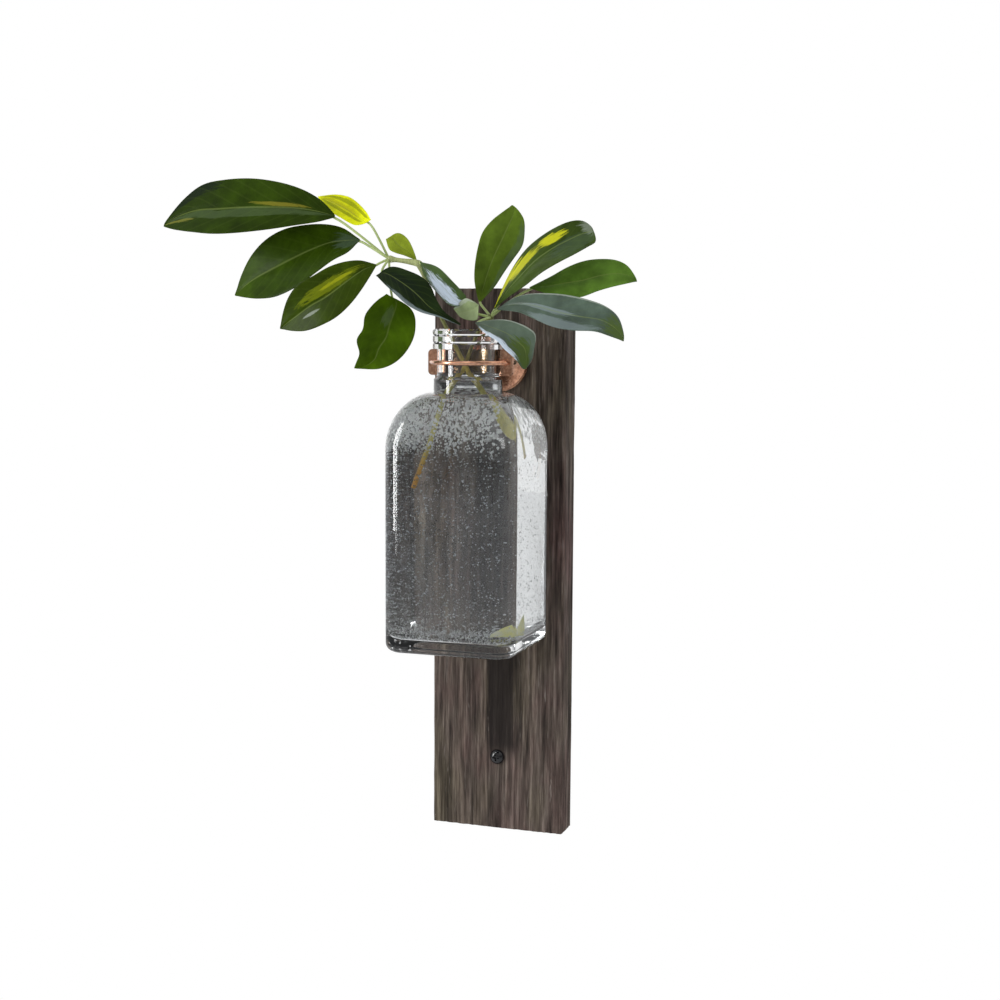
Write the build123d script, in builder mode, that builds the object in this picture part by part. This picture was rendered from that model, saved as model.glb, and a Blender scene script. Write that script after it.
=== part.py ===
from build123d import *
import math
import os

os.makedirs("parts", exist_ok=True)

# Board: a length of old plank, hung upright. Origin midway between the two wall fixings, on its back face.
board_width = 82.0
board_height = 325.0
board_thickness = 20.0
board_drop = 1.0
board_chamfer = 0.8

# Wall fixings: a hanger bolt above and a domed screw below, both through the board into the wall
fixing_spacing = 238.0
thread_diameter = 5.0
shank_diameter = 4.4
bolt_end_diameter = 4.0
fixing_clearance = 0.05
wall_reach = 28.0
point_length = 7.0
point_tip_share = 0.1
screw_head_diameter = 9.0
screw_head_height = 2.8
recess_width = 1.1
recess_length = 4.2
recess_depth = 1.2

# Bottle: square in plan, arched shoulders, short round neck
neck_standoff = 54.0
bottle_height = 178.0
bottle_width = 76.0
corner_radius = 12.0
foot_radius = 5.0
glass_wall = 3.0
base_thickness = 7.0
floor_radius = 6.0
shoulder_rise = 30.4
shoulder_run_in = 8.0
neck_base_radius = 19.2
groove_radius = 17.5
lip_radius = 19.8
lip_height = 11.0
bore_radius = 14.7
lip_round = 1.0
thread_groove = 0.7
thread_pitch = 4.2
shoulder_angles = (0, 20, 40, 57, 72, 84)

# Holder: bell on the board, half strap behind the neck, thin hoop in front of it
strap_height = 14.5
strap_thickness = 1.6
strap_clearance = 0.3
ear_reach = 25.0
ear_setback = 3.0
ear_round = 2.5
hoop_rod = 2.5
hoop_leg_offset = 21.8
hoop_leg_length = 19.0
hoop_wrap = 60.0
hoop_bend = 8.0
running_clearance = 0.05
washer_diameter = 5.2
washer_thickness = 0.5
nut_width = 4.6
nut_height = 2.2
bell_diameter = 36.0
bell_depth = 28.0
bell_wall = 1.2
bell_rim = 1.6
bell_nose_diameter = 13.0
bell_nose_length = 4.0
bell_flare_run_share = 0.36
bell_flare_radius_share = 0.62
boss_diameter = 11.0
bolt_bite = 5.5
bolt_end_gap = 0.3

# Cuttings: two green stems that cross in the neck, each with its whorls of stalked leaflets
stem_diameter = 3.0
stem_gap = 0.7
crossing_offset = -2.0
knob_radius = 3.0
stalk_radius = 0.6
rib_radius = 0.5
stalk_gap = 0.15
blade_thickness = 0.8
left_spread = 140.0
left_stem_depth = 52.0
left_stem_rise = 31.0
left_slope = -0.54
left_bend = 24.0
left_node_bend = 5.0
right_spread = 80.0
right_stem_depth = 70.0
right_stem_rise = 19.0
right_slope = 0.38
right_bend = 7.0

# Leaf scrap that has dropped to the bottle's floor
scrap_length = 15.0
scrap_width = 15.0
scrap_thickness = 0.6
scrap_lean = 68.0
scrap_turn = -12.0
scrap_floor_gap = 0.3
scrap_depth = 30.0

# Overrun for cuts
overrun = 2.0

# Places worked out from the sizes above
board_front = -board_thickness
neck_y = board_front - neck_standoff
holder_z = fixing_spacing / 2
strap_top = holder_z + strap_height / 2
strap_bottom = holder_z - strap_height / 2
lip_bottom = strap_top + strap_clearance
lip_top = lip_bottom + lip_height
bottle_bottom = lip_top - bottle_height
groove_bottom = strap_bottom - strap_clearance
thread_radius = thread_diameter / 2
shank_radius = shank_diameter / 2
bolt_end_radius = bolt_end_diameter / 2
hole_radius = thread_radius + fixing_clearance
rod_radius = hoop_rod / 2
strap_inner = groove_radius + strap_clearance
strap_outer = strap_inner + strap_thickness
hoop_radius = strap_inner + rod_radius
half_width = bottle_width / 2
shoulder_top = groove_bottom - (neck_base_radius - groove_radius) - bore_radius / 2
shoulder_start = shoulder_top - shoulder_rise
stem_stagger = (stem_diameter + stem_gap) / 2
boss_back = -(bell_depth + board_thickness)
boss_length = neck_standoff - bell_depth - strap_inner - strap_thickness / 2


def unit(vector):
    length = math.sqrt(sum(c * c for c in vector))
    return tuple(c / length for c in vector)


def along(start, direction, distance):
    return tuple(s + distance * d for s, d in zip(start, direction))


def cross(a, b):
    return (
        a[1] * b[2] - a[2] * b[1],
        a[2] * b[0] - a[0] * b[2],
        a[0] * b[1] - a[1] * b[0],
    )


def write(part, label):
    part.label = label
    export_step(part, "parts/" + label + ".step")


# Plank with a through hole for each fixing
with BuildPart() as wood_board:
    with BuildSketch(Plane.XZ):
        with Locations((0, -board_drop)):
            Rectangle(board_width, board_height)
    extrude(amount=board_thickness)
    chamfer(wood_board.edges(), length=board_chamfer)
    with BuildSketch(Plane.XZ.offset(-overrun)):
        with GridLocations(0, fixing_spacing, 1, 2):
            Circle(hole_radius)
    extrude(amount=board_thickness + 2 * overrun, mode=Mode.SUBTRACT)
write(wood_board.part, "wood_board")


# Domed screw in the lower hole, with a cross recess, a plain shank and a pointed thread for the wall
with BuildPart() as wall_screw:
    with BuildSketch(Plane.YZ):
        with BuildLine():
            crown = (board_front - screw_head_height, -holder_z)
            rim = (board_front, -holder_z + screw_head_diameter / 2)
            halfway = math.radians(45)
            mid = (
                board_front - screw_head_height * math.cos(halfway),
                -holder_z + screw_head_diameter / 2 * math.sin(halfway),
            )
            ThreePointArc(crown, mid, rim)
            shank_top = -holder_z + shank_radius
            thread_top = -holder_z + thread_radius
            Polyline(
                rim,
                (board_front, shank_top),
                (0, shank_top),
                (0, thread_top),
                (wall_reach - point_length, thread_top),
                (wall_reach, -holder_z + thread_radius * point_tip_share),
                (wall_reach, -holder_z),
                crown,
            )
        make_face()
    revolve(axis=Axis((0, 0, -holder_z), (0, 1, 0)))
    with BuildSketch(Plane.XZ.offset(board_thickness + screw_head_height - recess_depth)):
        with Locations((0, -holder_z)):
            Rectangle(recess_length, recess_width)
            Rectangle(recess_width, recess_length)
    extrude(amount=recess_depth + overrun, mode=Mode.SUBTRACT)
write(wall_screw.part, "wall_screw")


# Double-ended hanger bolt in the upper hole: wall thread behind, machine thread into the strap's boss
with BuildPart() as hanger_bolt:
    with BuildSketch(Plane.YZ):
        with BuildLine():
            bolt_front = boss_back - bolt_bite
            Polyline(
                (bolt_front, holder_z),
                (bolt_front, holder_z + bolt_end_radius),
                (boss_back, holder_z + bolt_end_radius),
                (boss_back, holder_z + shank_radius),
                (0, holder_z + shank_radius),
                (0, holder_z + thread_radius),
                (wall_reach - point_length, holder_z + thread_radius),
                (wall_reach, holder_z + thread_radius * point_tip_share),
                (wall_reach, holder_z),
                close=True,
            )
        make_face()
    revolve(axis=Axis((0, 0, holder_z), (0, 1, 0)))
write(hanger_bolt.part, "hanger_bolt")


# Spun copper bell that slides over the bolt and covers its hole in the board
with BuildPart() as bell_cover:
    with BuildSketch(Plane.YZ):
        bell_radius = bell_diameter / 2
        nose_radius = bell_nose_diameter / 2
        flare_end = boss_back + bell_nose_length
        flare_start = board_front - bell_rim
        flare_mid = flare_start + bell_flare_run_share * (flare_end - flare_start)
        flare_mid_radius = nose_radius + (bell_radius - nose_radius) * (1 - bell_flare_radius_share)
        with BuildLine():
            outer = ThreePointArc(
                (flare_start, holder_z + bell_radius - bell_wall),
                (flare_mid, holder_z + flare_mid_radius),
                (flare_end, holder_z + nose_radius),
            )
            inner = ThreePointArc(
                (board_front, holder_z + bell_radius - 2 * bell_wall),
                (flare_mid, holder_z + flare_mid_radius - bell_wall * math.sqrt(2)),
                (flare_end, holder_z + nose_radius - bell_wall),
            )
            Polyline(
                outer @ 0,
                (flare_start, holder_z + bell_radius),
                (board_front, holder_z + bell_radius),
                inner @ 0,
            )
            Polyline(
                outer @ 1,
                (boss_back, holder_z + nose_radius),
                (boss_back, holder_z + shank_radius + strap_clearance),
                (boss_back + bell_wall, holder_z + shank_radius + strap_clearance),
                (boss_back + bell_wall, holder_z + nose_radius - bell_wall),
                inner @ 1,
            )
        make_face()
    revolve(axis=Axis((0, 0, holder_z), (0, 1, 0)))
write(bell_cover.part, "bell_cover")


# Rear half strap with two ears for the hoop and a threaded boss for the bolt
strap_plane = Plane((0, neck_y, strap_bottom))
with BuildPart() as neck_strap:
    with BuildSketch(strap_plane):
        Circle(strap_outer)
        Circle(strap_inner, mode=Mode.SUBTRACT)
        with Locations((0, ear_setback)):
            Rectangle(
                2 * ear_reach,
                2 * ear_reach,
                align=(Align.CENTER, Align.MAX),
                mode=Mode.SUBTRACT,
            )
    extrude(amount=strap_height)
    with BuildSketch(Plane.XZ.offset(-neck_y - ear_setback)):
        ear_width = ear_reach - strap_inner
        with Locations(
            (strap_inner + ear_width / 2, holder_z), (-strap_inner - ear_width / 2, holder_z)
        ):
            RectangleRounded(ear_width, strap_height, ear_round)
    extrude(amount=-strap_thickness)
    with BuildSketch(Plane.XZ.offset(-boss_back)):
        with Locations((0, holder_z)):
            Circle(boss_diameter / 2)
    extrude(amount=boss_length)
    with BuildSketch(strap_plane):
        Circle(strap_inner)
    extrude(amount=strap_height, mode=Mode.SUBTRACT)
    with BuildSketch(Plane.XZ.offset(-boss_back - overrun)):
        with Locations((0, holder_z)):
            Circle(bolt_end_radius + fixing_clearance)
    extrude(amount=bolt_bite + bolt_end_gap + overrun, mode=Mode.SUBTRACT)
    with BuildSketch(Plane.XZ.offset(-neck_y + overrun)):
        with Locations((hoop_leg_offset, holder_z), (-hoop_leg_offset, holder_z)):
            Circle(rod_radius + running_clearance)
    extrude(amount=-(ear_setback + strap_thickness + 2 * overrun), mode=Mode.SUBTRACT)
write(neck_strap.part, "neck_strap")


# Copper rod bent round the front of the neck, with two straight legs back through the ears
hoop_plane = Plane((0, neck_y, holder_z))
leg_tip = hoop_leg_length - ear_setback
with BuildPart() as neck_hoop:
    with BuildLine(hoop_plane):
        front = CenterArc((0, 0), hoop_radius, 270 - hoop_wrap, 2 * hoop_wrap)
        wrap = math.radians(hoop_wrap)
        turn_x = hoop_radius * math.sin(wrap)
        turn_y = -hoop_radius * math.cos(wrap)
        corner_y = turn_y + (hoop_leg_offset - turn_x) * math.tan(wrap)
        FilletPolyline(
            (turn_x, turn_y),
            (hoop_leg_offset, corner_y),
            (hoop_leg_offset, leg_tip),
            radius=hoop_bend,
        )
        FilletPolyline(
            (-turn_x, turn_y),
            (-hoop_leg_offset, corner_y),
            (-hoop_leg_offset, leg_tip),
            radius=hoop_bend,
        )
    with BuildSketch(Plane((hoop_leg_offset, neck_y + leg_tip, holder_z), z_dir=(0, 1, 0))):
        Circle(rod_radius)
    sweep()
write(neck_hoop.part, "neck_hoop")


# A washer and a nut on each leg, tight against the backs of the ears
ear_back = neck_y + ear_setback + strap_thickness
with BuildPart() as hoop_washers:
    with BuildSketch(Plane.XZ.offset(-ear_back)):
        with Locations((hoop_leg_offset, holder_z), (-hoop_leg_offset, holder_z)):
            Circle(washer_diameter / 2)
            Circle(rod_radius + running_clearance, mode=Mode.SUBTRACT)
    extrude(amount=-washer_thickness)
write(hoop_washers.part, "hoop_washers")

with BuildPart() as hoop_nuts:
    with BuildSketch(Plane.XZ.offset(-(ear_back + washer_thickness))):
        with Locations((hoop_leg_offset, holder_z), (-hoop_leg_offset, holder_z)):
            RegularPolygon(nut_width / 2, 6, major_radius=False)
            Circle(rod_radius + running_clearance, mode=Mode.SUBTRACT)
    extrude(amount=-nut_height)
write(hoop_nuts.part, "hoop_nuts")


# Clear glass bottle: thick base, flat sides, arched shoulders that turn from square to round, grooved neck
bottle_plane = Plane((0, neck_y, 0))


full_round_share = 0.99


def shoulder_section(angle, inset):
    """Height, half width and corner radius of the shoulder at an angle round its arch."""
    turn = math.radians(angle)
    top_radius = bore_radius if inset else neck_base_radius
    half = top_radius + (half_width - inset - top_radius) * math.cos(turn)
    roundness = math.sin(turn) ** 2
    corner = (corner_radius - inset) * (1 - roundness) + top_radius * roundness
    level = shoulder_start + (shoulder_rise - inset) * math.sin(turn)
    return level, half, min(corner, half * full_round_share)


# Hollow of the bottle: an even wall, a thick base and a straight bore up the neck
inner_width = bottle_width - 2 * glass_wall
floor_level = bottle_bottom + base_thickness
run_in_level = shoulder_start - shoulder_run_in
with BuildPart() as bottle_hollow:
    with BuildSketch(bottle_plane.offset(floor_level)):
        RectangleRounded(inner_width, inner_width, corner_radius - glass_wall)
    extrude(amount=run_in_level - floor_level)
    fillet(bottle_hollow.faces().sort_by(Axis.Z)[0].edges(), radius=floor_radius)
    with BuildSketch(bottle_plane.offset(run_in_level)):
        RectangleRounded(inner_width, inner_width, corner_radius - glass_wall)
    for angle in shoulder_angles:
        level, half, corner = shoulder_section(angle, glass_wall)
        with BuildSketch(bottle_plane.offset(level)):
            RectangleRounded(2 * half, 2 * half, corner)
    loft()
    with BuildSketch(bottle_plane.offset(shoulder_start)):
        Circle(bore_radius)
    extrude(amount=lip_top - shoulder_start + overrun)

with BuildPart() as glass_bottle:
    with BuildSketch(bottle_plane.offset(bottle_bottom)):
        RectangleRounded(bottle_width, bottle_width, corner_radius)
    extrude(amount=run_in_level - bottle_bottom)
    fillet(glass_bottle.faces().sort_by(Axis.Z)[0].edges(), radius=foot_radius)
    with BuildSketch(bottle_plane.offset(run_in_level)):
        RectangleRounded(bottle_width, bottle_width, corner_radius)
    for angle in shoulder_angles:
        level, half, corner = shoulder_section(angle, 0)
        with BuildSketch(bottle_plane.offset(level)):
            RectangleRounded(2 * half, 2 * half, corner)
    loft()
    with BuildSketch(Plane.XZ.offset(-neck_y)):
        with BuildLine():
            shoulder_level = shoulder_section(shoulder_angles[-1], 0)[0]
            collar_top = groove_bottom - (neck_base_radius - groove_radius)
            Polyline(
                (0, shoulder_level - glass_wall),
                (neck_base_radius, shoulder_level - glass_wall),
                (neck_base_radius, collar_top),
                (groove_radius, groove_bottom),
                (groove_radius, lip_bottom),
                (lip_radius, lip_bottom),
                (lip_radius, lip_top - 2 * thread_pitch),
                (lip_radius - thread_groove, lip_top - 2 * thread_pitch + thread_groove),
                (lip_radius, lip_top - 2 * thread_pitch + 2 * thread_groove),
                (lip_radius, lip_top - thread_pitch),
                (lip_radius - thread_groove, lip_top - thread_pitch + thread_groove),
                (lip_radius, lip_top - thread_pitch + 2 * thread_groove),
                (lip_radius, lip_top - lip_round),
                (lip_radius - lip_round, lip_top),
                (0, lip_top),
                close=True,
            )
        make_face()
    revolve(axis=Axis((0, neck_y, 0), (0, 0, 1)))
    add(bottle_hollow.part, mode=Mode.SUBTRACT)
write(glass_bottle.part, "glass_bottle")


# Fallen scrap of leaf, leaning on the floor beside the right wall of the bottle
scrap_back_shares = ((-1 / 2, 0), (-1 / 4, 0.42), (1 / 6, 0.8), (1 / 2, 1))
scrap_torn_shares = ((1 / 2, 1), (0.42, 0.45), (0.3, 0), (-1 / 2, 0))
scrap_offset_share = 0.3
scrap_x = half_width - glass_wall - floor_radius - scrap_length * scrap_offset_share
scrap_y = neck_y - half_width + glass_wall + scrap_depth
lean = math.radians(scrap_lean)
swing = math.radians(scrap_turn)
scrap_run = (math.cos(swing), -math.sin(swing), 0)
scrap_face = (-math.sin(swing) * math.sin(lean), -math.cos(swing) * math.sin(lean), -math.cos(lean))
scrap_base = floor_level + scrap_floor_gap + scrap_thickness
with BuildPart() as fallen_leaf:
    with BuildSketch(Plane((scrap_x, scrap_y, scrap_base), x_dir=scrap_run, z_dir=scrap_face)):
        with BuildLine():
            Spline(*[(scrap_length * a, scrap_width * b) for a, b in scrap_back_shares])
            Polyline(*[(scrap_length * a, scrap_width * b) for a, b in scrap_torn_shares])
        make_face()
    extrude(amount=scrap_thickness)
write(fallen_leaf.part, "fallen_leaf")


# Stems: straight through the neck and bent above it, with a swollen node at each whorl
crossing = (crossing_offset, neck_y, holder_z)


def from_crossing(spread, shares):
    return tuple(c + spread * share for c, share in zip(crossing, shares))


left_whorl_shares = (-0.316, -0.021, 0.409)
left_tip_shares = (-0.190, -0.014, 0.392)
right_whorl_shares = (0.199, -0.025, 0.315)
left_whorl = from_crossing(left_spread, left_whorl_shares)
left_tip = from_crossing(left_spread, left_tip_shares)
right_whorl = from_crossing(right_spread, right_whorl_shares)


def stem_point(slope, rise, stagger):
    return (crossing_offset + slope * rise, neck_y + stagger, holder_z + rise)


def make_stem(label, points, bends, nodes):
    heading = unit(tuple(b - a for a, b in zip(points[0], points[1])))
    with BuildPart() as stem:
        with BuildLine():
            FilletPolyline(*points, radius=bends)
        with BuildSketch(Plane(points[0], z_dir=heading)):
            Circle(stem_diameter / 2)
        sweep()
        for node in nodes:
            with Locations(node):
                Sphere(knob_radius, rotation=(0, 0, 90))
    write(stem.part, label)


make_stem(
    "left_stem",
    (
        stem_point(left_slope, -left_stem_depth, -stem_stagger),
        stem_point(left_slope, left_stem_rise, -stem_stagger),
        left_tip,
        left_whorl,
    ),
    (left_bend, left_node_bend),
    (left_tip, left_whorl),
)
make_stem(
    "right_stem",
    (
        stem_point(right_slope, -right_stem_depth, stem_stagger),
        stem_point(right_slope, right_stem_rise, stem_stagger),
        right_whorl,
    ),
    (right_bend,),
    (right_whorl,),
)


# Leaflets: a thin bowed blade on a round stalk that starts at its node and runs on as the midrib.
# Each row: node, blade base and tip from the node, the two half widths, and the turn about the midrib.
outline_shares = ((0.1, 0.4), (0.28, 0.8), (0.54, 1.0), (0.78, 0.82), (0.93, 0.45))
bow_share = 0.055
rib_share = 0.92
rib_drop_share = 0.4
rib_step_share = 0.02
band_end_share = 0.1
view_side = unit((0.317, -0.942, 0.108))


def make_leaflet(label, node, spread, base_shares, tip_shares, half_shares, turn):
    base = tuple(n + spread * share for n, share in zip(node, base_shares))
    tip = tuple(n + spread * share for n, share in zip(node, tip_shares))
    run = tuple(t - b for b, t in zip(base, tip))
    length = math.sqrt(sum(c * c for c in run))
    x_dir = unit(run)
    lean_in = sum(a * b for a, b in zip(view_side, x_dir))
    facing = unit(tuple(v - lean_in * x for v, x in zip(view_side, x_dir)))
    side = cross(x_dir, facing)
    c, s = math.cos(math.radians(turn)), math.sin(math.radians(turn))
    normal = tuple(c * f + s * w for f, w in zip(facing, side))
    across = tuple(c * w - s * f for f, w in zip(facing, side))
    first, second = (spread * share for share in half_shares)
    bow = bow_share * length
    bow_radius = (length * length / 4 + bow * bow) / (2 * bow)
    half_angle = math.asin(length / (2 * bow_radius))

    def on_arc(share, lift=0):
        angle = half_angle * (2 * share - 1)
        return (
            length / 2 + (bow_radius + lift) * math.sin(angle),
            bow - bow_radius + (bow_radius + lift) * math.cos(angle),
        )

    def arc_points(first_share, last_share, lift):
        middle = (first_share + last_share) / 2
        return [on_arc(share, lift) for share in (first_share, middle, last_share)]

    side_plane = Plane(base, x_dir=x_dir, z_dir=across)
    with BuildPart() as leaflet:
        with BuildSketch(Plane(base, x_dir=x_dir, z_dir=normal)):
            with BuildLine():
                Spline((0, 0), *[(a * length, -b * first) for a, b in outline_shares], (length, 0))
                Spline((0, 0), *[(a * length, b * second) for a, b in outline_shares], (length, 0))
            make_face()
        extrude(amount=bow + 2 * blade_thickness, both=True)
        with BuildSketch(side_plane):
            with BuildLine():
                under = ThreePointArc(*arc_points(-band_end_share, 1 + band_end_share, 0))
                upper = ThreePointArc(*arc_points(-band_end_share, 1 + band_end_share, blade_thickness))
                Line(under @ 0, upper @ 0)
                Line(under @ 1, upper @ 1)
            make_face()
        extrude(amount=first + second, both=True, mode=Mode.INTERSECT)
        drop = -rib_radius * rib_drop_share
        with BuildLine(side_plane):
            ThreePointArc(*arc_points(0, rib_share, drop))
        rib_start = side_plane.from_local_coords(on_arc(0, drop))
        rib_next = side_plane.from_local_coords(on_arc(rib_step_share, drop))
        with BuildSketch(Plane(rib_start, z_dir=rib_next - rib_start)):
            Circle(rib_radius)
        sweep()
        stalk = tuple(r - n for r, n in zip(tuple(rib_start), node))
        stalk_length = math.sqrt(sum(c * c for c in stalk))
        start = along(node, unit(stalk), knob_radius + stalk_gap)
        with BuildSketch(Plane(start, z_dir=unit(stalk))):
            Circle(stalk_radius)
        extrude(amount=stalk_length - knob_radius - stalk_gap + stalk_radius)
    write(leaflet.part, label)


left_leaflet_shares = (
    ("left_leaflet_1", left_whorl, (-0.205, -0.057, 0.165), (-0.968, -0.093, 0.130), (0.194, 0.040), 25),
    ("left_leaflet_2", left_whorl, (-0.134, 0.029, 0.078), (-0.712, 0.050, -0.150), (0.157, 0.079), 20),
    ("left_leaflet_3", left_whorl, (-0.041, -0.057, -0.022), (-0.424, -0.121, -0.285), (0.116, 0.074), 15),
    ("left_leaflet_4", left_whorl, (-0.099, 0.050, 0.170), (-0.356, 0.107, 0.259), (0.060, 0.055), 30),
    ("left_leaflet_5", left_whorl, (0.011, -0.079, -0.039), (0.378, -0.171, -0.268), (0.068, 0.076), -20),
    ("left_leaflet_6", left_whorl, (-0.016, 0.007, -0.135), (-0.139, -0.014, -0.436), (0.070, 0.153), -15),
    ("left_leaflet_7", left_tip, (-0.026, 0.021, 0.021), (-0.152, 0.036, 0.110), (0.059, 0.030), 20),
    ("left_leaflet_8", left_tip, (0.030, -0.035, -0.018), (0.220, -0.057, -0.131), (0.070, 0.026), -25),
)
right_leaflet_shares = (
    ("right_leaflet_1", right_whorl, (-0.095, 0.062, 0.096), (0.090, 0.150, 0.769), (0.156, 0.149), 10),
    ("right_leaflet_2", right_whorl, (0.059, -0.025, 0.095), (0.715, -0.062, 0.604), (0.108, 0.193), -25),
    ("right_leaflet_3", right_whorl, (0.254, 0.037, 0.205), (0.996, 0.125, 0.239), (0.097, 0.194), -30),
    ("right_leaflet_4", right_whorl, (0.095, -0.087, 0.034), (0.981, -0.200, -0.154), (0.030, 0.253), -20),
    ("right_leaflet_5", right_whorl, (-0.036, -0.225, -0.042), (0.348, -0.287, -0.332), (0.029, 0.217), -15),
    ("right_leaflet_6", right_whorl, (-0.200, -0.125, -0.009), (-0.020, -0.190, 0.110), (0.090, 0.090), -15),
)
for label, node, base_shares, tip_shares, half_shares, turn in left_leaflet_shares:
    make_leaflet(label, node, left_spread, base_shares, tip_shares, half_shares, turn)
for label, node, base_shares, tip_shares, half_shares, turn in right_leaflet_shares:
    make_leaflet(label, node, right_spread, base_shares, tip_shares, half_shares, turn)
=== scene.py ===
import math
import random

import bmesh
import bpy
from mathutils import Matrix, Vector, noise


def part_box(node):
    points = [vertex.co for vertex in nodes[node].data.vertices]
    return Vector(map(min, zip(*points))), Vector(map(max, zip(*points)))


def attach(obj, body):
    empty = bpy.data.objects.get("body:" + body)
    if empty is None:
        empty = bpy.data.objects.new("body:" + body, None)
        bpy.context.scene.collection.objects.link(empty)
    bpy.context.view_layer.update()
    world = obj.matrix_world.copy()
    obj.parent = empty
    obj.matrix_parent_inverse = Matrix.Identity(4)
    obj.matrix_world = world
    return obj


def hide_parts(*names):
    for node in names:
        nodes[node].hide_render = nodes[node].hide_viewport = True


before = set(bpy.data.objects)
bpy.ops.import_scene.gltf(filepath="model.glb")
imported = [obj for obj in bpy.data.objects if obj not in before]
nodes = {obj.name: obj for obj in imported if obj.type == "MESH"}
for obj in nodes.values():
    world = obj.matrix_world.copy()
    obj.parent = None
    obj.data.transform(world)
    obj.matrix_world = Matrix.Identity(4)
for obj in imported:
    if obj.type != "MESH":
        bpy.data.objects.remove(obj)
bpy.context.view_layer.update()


# Wooden board. A length of old plank, hung upright: grey-brown weathered grain with raised ridges,
# worn corners and a rough sawn foot. It is drilled for the two fixings, and stained round the lower one.
def new_material(name, color, roughness, metallic=0.0):
    """A material with the finish of one kind of surface, and the nodes to shape it with."""
    material = bpy.data.materials.new(name)
    material.use_nodes = True
    tree = material.node_tree
    shader = tree.nodes["Principled BSDF"]
    shader.inputs["Base Color"].default_value = (*color, 1)
    shader.inputs["Roughness"].default_value = roughness
    shader.inputs["Metallic"].default_value = metallic
    return material, tree, shader


def add_node(tree, kind, inputs=None, **settings):
    """A node of the given kind. Inputs are plain values, or the sockets that feed them."""
    node = tree.nodes.new("ShaderNode" + kind)
    for name, value in settings.items():
        setattr(node, name, value)
    for key, value in (inputs or {}).items():
        socket = node.inputs[key]
        if isinstance(value, bpy.types.NodeSocket):
            tree.links.new(value, socket)
        else:
            socket.default_value = value
    return node


def ramp(tree, factor, stops, interpolation="LINEAR"):
    """A colour ramp's output. Stops are (place, colour) with grey given as one number."""
    node = add_node(tree, "ValToRGB", {"Fac": factor})
    node.color_ramp.interpolation = interpolation
    elements = node.color_ramp.elements
    while len(elements) < len(stops):
        elements.new(0.5)
    for element, (place, color) in zip(elements, stops):
        element.position = place
        element.color = (*color, 1) if isinstance(color, tuple) else (color, color, color, 1)
    return node.outputs["Color"]


def mix(tree, kind, factor, first, second):
    """Two colours blended or multiplied, by a factor."""
    node = add_node(tree, "Mix", {0: factor}, data_type="RGBA", blend_type=kind)
    for socket, value in ((node.inputs[6], first), (node.inputs[7], second)):
        if isinstance(value, bpy.types.NodeSocket):
            tree.links.new(value, socket)
        else:
            socket.default_value = (*value, 1)
    return node.outputs[2]


def math_node(tree, operation, *values):
    """The result of one sum on numbers or sockets."""
    return add_node(tree, "Math", dict(enumerate(values)), operation=operation).outputs[0]


def along(tree, axis, source="Object"):
    """How far a place lies along one axis."""
    where = add_node(tree, "TexCoord").outputs[source]
    return add_node(tree, "SeparateXYZ", {0: where}).outputs[axis]


def stretched(tree, stretch, source="Object"):
    """Object or UV coordinates, scaled along each axis."""
    where = add_node(tree, "TexCoord").outputs[source]
    return add_node(tree, "Mapping", {"Vector": where, "Scale": stretch}).outputs[0]


def noise_node(tree, scale, detail, roughness, distortion=0.0, stretch=(1, 1, 1), source="Object"):
    """A cloudy pattern over a piece, as a value from 0 to 1."""
    values = {
        "Vector": stretched(tree, stretch, source),
        "Scale": scale,
        "Detail": detail,
        "Roughness": roughness,
        "Distortion": distortion,
    }
    return add_node(tree, "TexNoise", values).outputs["Fac"]


def patterned(tree, shader, color, roughness=None):
    """Gives a material its colour, and where it varies its roughness, from patterns."""
    tree.links.new(color, shader.inputs["Base Color"])
    if roughness is not None:
        tree.links.new(roughness, shader.inputs["Roughness"])


def bump(tree, shader, height, distance, strength=1.0):
    """Fine relief on a surface, in metres."""
    node = add_node(tree, "Bump", {"Strength": strength, "Distance": distance, "Height": height})
    tree.links.new(node.outputs[0], shader.inputs["Normal"])


def select_only(piece):
    """Selects one piece and makes it the active one."""
    bpy.ops.object.select_all(action="DESELECT")
    piece.select_set(True)
    bpy.context.view_layer.objects.active = piece


def start_edit(piece, mode="VERT"):
    """Opens a piece in edit mode with nothing selected."""
    select_only(piece)
    bpy.ops.object.mode_set(mode="EDIT")
    bpy.ops.mesh.select_mode(type=mode)
    bpy.ops.mesh.select_all(action="DESELECT")


def pick(piece, part, test):
    """Selects the faces, edges or vertices that pass a test."""
    mesh = bmesh.from_edit_mesh(piece.data)
    for item in getattr(mesh, part):
        if test(item):
            item.select_set(True)
    mesh.select_flush_mode()
    bmesh.update_edit_mesh(piece.data)


def end_edit():
    """Closes edit mode."""
    bpy.ops.object.mode_set(mode="OBJECT")


def bake_place(piece):
    """Leaves the piece at the origin, with its place in its mesh."""
    piece.data.transform(piece.matrix_world)
    piece.matrix_world = Matrix.Identity(4)


def wood_noise(place, pitch, shift=(0, 0, 0)):
    """Noise at a place on the board, of its own pitch along each axis."""
    return noise.noise(Vector([spot * fine + moved for spot, fine, moved in zip(place, pitch, shift)]))


board_low, board_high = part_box("wood_board")
board_size = board_high - board_low
board_middle = (board_low + board_high) / 2
bpy.ops.object.select_all(action="DESELECT")
bpy.ops.mesh.primitive_cube_add(size=1, location=board_middle, scale=board_size)
board = bpy.context.active_object
board.name = "weathered_board"
bake_place(board)
cuts_across, cuts_down, cuts_through = 81, 99, 15
for axis, cuts in ((0, cuts_across), (2, cuts_down), (1, cuts_through)):
    start_edit(board, "EDGE")

    def runs_along(edge, axis=axis):
        span = edge.verts[1].co - edge.verts[0].co
        return abs(span[axis]) > 0.999 * span.length

    pick(board, "edges", runs_along)
    bpy.ops.mesh.subdivide(number_cuts=cuts)
    end_edit()

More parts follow.
